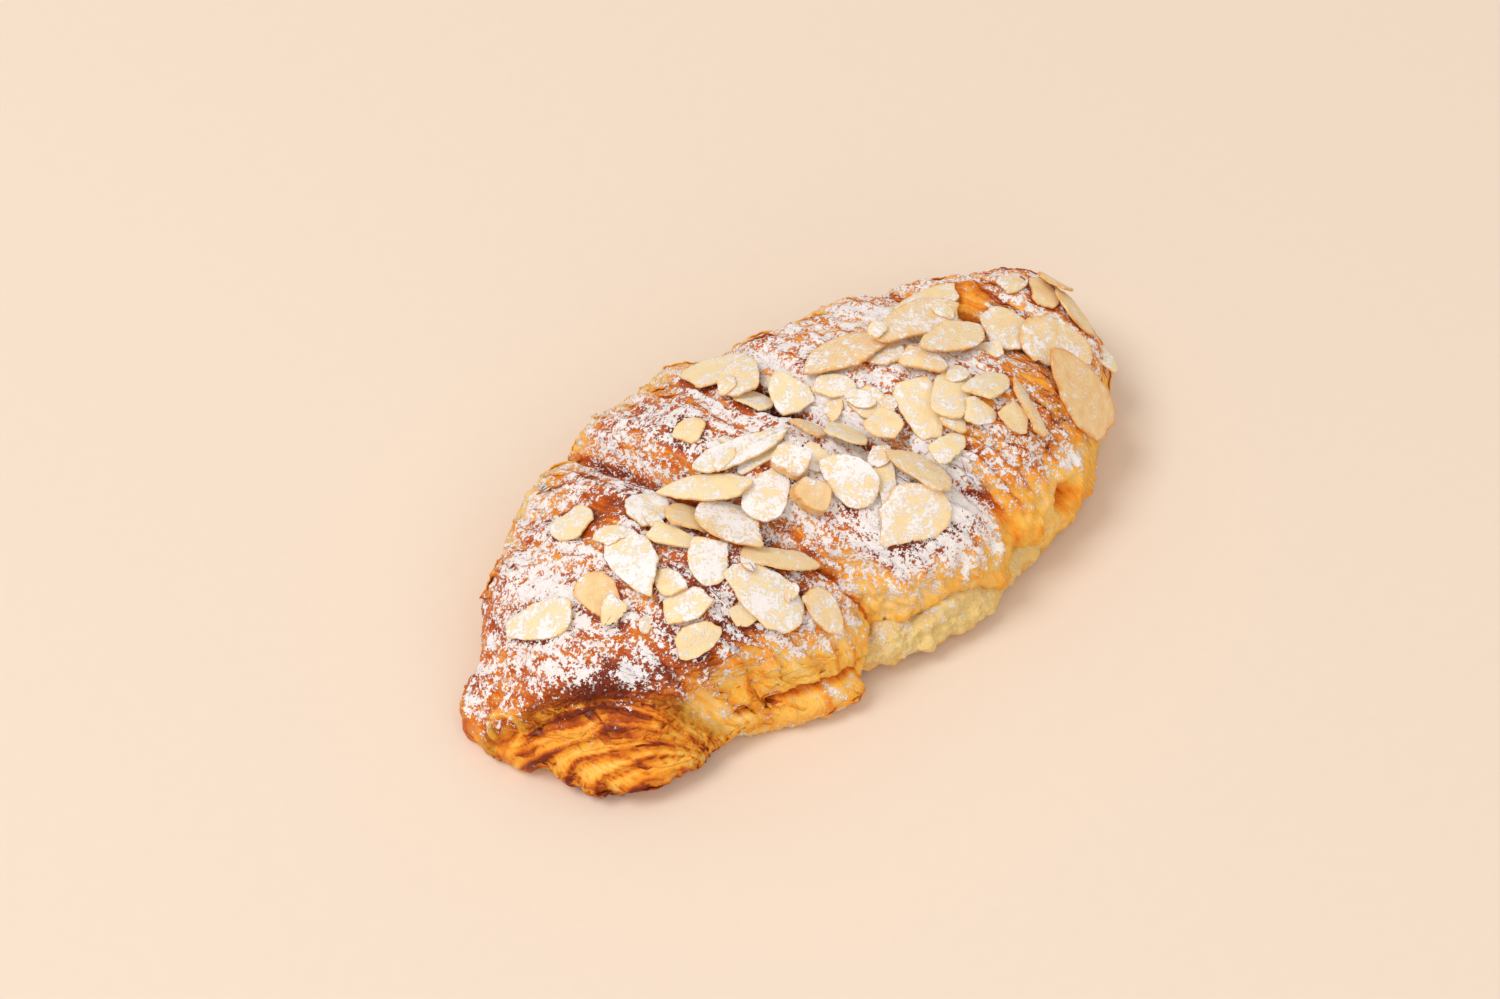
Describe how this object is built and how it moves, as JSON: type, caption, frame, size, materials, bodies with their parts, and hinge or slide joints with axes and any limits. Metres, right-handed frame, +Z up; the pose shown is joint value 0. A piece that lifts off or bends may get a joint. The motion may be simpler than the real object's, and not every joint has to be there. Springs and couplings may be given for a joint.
{
  "type": "almond croissant",
  "caption": "Twice-baked almond croissant, flattened and rolled, with almond cream along one side and flaked almonds on top.",
  "frame": {"origin": "middle of the croissant's box in plan, at the height of its flat underside", "axes": "+X along the croissant from its pointed tip to its blunt end, +Z up, -Y towards the side where the almond cream shows"},
  "size_m": [0.165, 0.0848, 0.0417],
  "materials": {
    "baked_crust": "satin, browned by an egg wash, dusted with icing sugar",
    "almond_cream": "matt and crumbly, golden where it met the tray",
    "almond_flake": "matt ivory with toasted edges, dusted with icing sugar"
  },
  "bodies": {
    "root": {"pastry": "baked_crust", "almond_cream": "almond_cream", "almond_flake_01": "almond_flake", "almond_flake_02": "almond_flake", "almond_flake_03": "almond_flake", "almond_flake_04": "almond_flake", "almond_flake_05": "almond_flake", "almond_flake_06": "almond_flake", "almond_flake_07": "almond_flake", "almond_flake_08": "almond_flake", "almond_flake_09": "almond_flake", "almond_flake_10": "almond_flake", "almond_flake_11": "almond_flake", "almond_flake_12": "almond_flake", "almond_flake_13": "almond_flake", "almond_flake_14": "almond_flake", "almond_flake_15": "almond_flake", "almond_flake_16": "almond_flake", "almond_flake_17": "almond_flake", "almond_flake_18": "almond_flake", "almond_flake_19": "almond_flake", "almond_flake_20": "almond_flake", "almond_flake_21": "almond_flake", "almond_flake_22": "almond_flake", "almond_flake_23": "almond_flake", "almond_flake_24": "almond_flake", "almond_flake_25": "almond_flake", "almond_flake_26": "almond_flake", "almond_flake_27": "almond_flake", "almond_flake_28": "almond_flake", "almond_flake_29": "almond_flake", "almond_flake_30": "almond_flake", "almond_flake_31": "almond_flake", "almond_flake_32": "almond_flake", "almond_flake_33": "almond_flake", "almond_flake_34": "almond_flake", "almond_flake_35": "almond_flake", "almond_flake_36": "almond_flake", "almond_flake_37": "almond_flake", "almond_flake_38": "almond_flake", "almond_flake_39": "almond_flake", "almond_flake_40": "almond_flake", "almond_flake_41": "almond_flake", "almond_flake_42": "almond_flake", "almond_flake_43": "almond_flake", "almond_flake_44": "almond_flake", "almond_flake_45": "almond_flake", "almond_flake_46": "almond_flake", "almond_flake_47": "almond_flake", "almond_flake_48": "almond_flake", "almond_flake_49": "almond_flake", "almond_flake_50": "almond_flake", "almond_flake_51": "almond_flake", "almond_flake_52": "almond_flake", "almond_flake_53": "almond_flake", "almond_flake_54": "almond_flake", "almond_flake_55": "almond_flake", "almond_flake_56": "almond_flake", "almond_flake_57": "almond_flake", "almond_flake_58": "almond_flake"}
  },
  "joints": []
}
